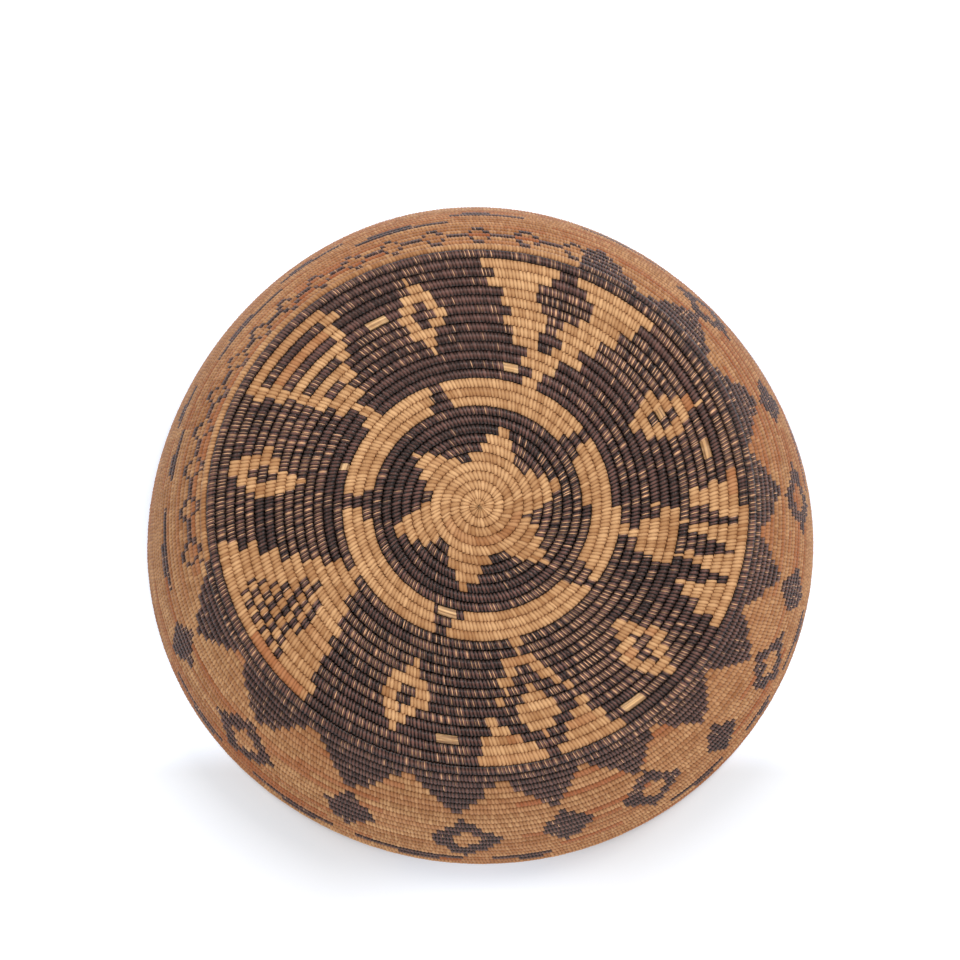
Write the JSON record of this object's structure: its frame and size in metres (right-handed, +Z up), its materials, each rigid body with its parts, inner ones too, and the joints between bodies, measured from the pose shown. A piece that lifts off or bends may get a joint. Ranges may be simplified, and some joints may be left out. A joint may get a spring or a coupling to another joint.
{
  "type": "coiled basket bowl",
  "caption": "Coiled basket bowl with a flat base, a shoulder and a flaring wall, sewn in golden and dark rush; lies mouth down on its rim.",
  "frame": {"origin": "centre of the rim's plane, which is the surface that the basket lies on, mouth down", "axes": "+Z up, from the rim to the outside of the base; the coil starts on the Z axis; +X and +Y as in the picture: right and away from the viewer"},
  "size_m": [0.361, 0.3608, 0.0855],
  "materials": {
    "golden_rush": "matt split rush stitches, golden tan",
    "dark_rush": "matt dyed rush stitches, dark brown",
    "russet_rush": "matt rush stitches, russet brown"
  },
  "bodies": {
    "root": {"start_whorl": "golden_rush", "base_coil_inner": "golden_rush", "base_coil_middle": "dark_rush", "base_coil_outer": "dark_rush", "base_coil_edge": "dark_rush", "shoulder_coil": "russet_rush", "wall_coil_lower": "golden_rush", "wall_coil_mid_lower": "golden_rush", "wall_coil_middle": "golden_rush", "wall_coil_mid_upper": "golden_rush", "wall_coil_upper": "golden_rush", "rim_coil": "golden_rush"}
  },
  "joints": []
}
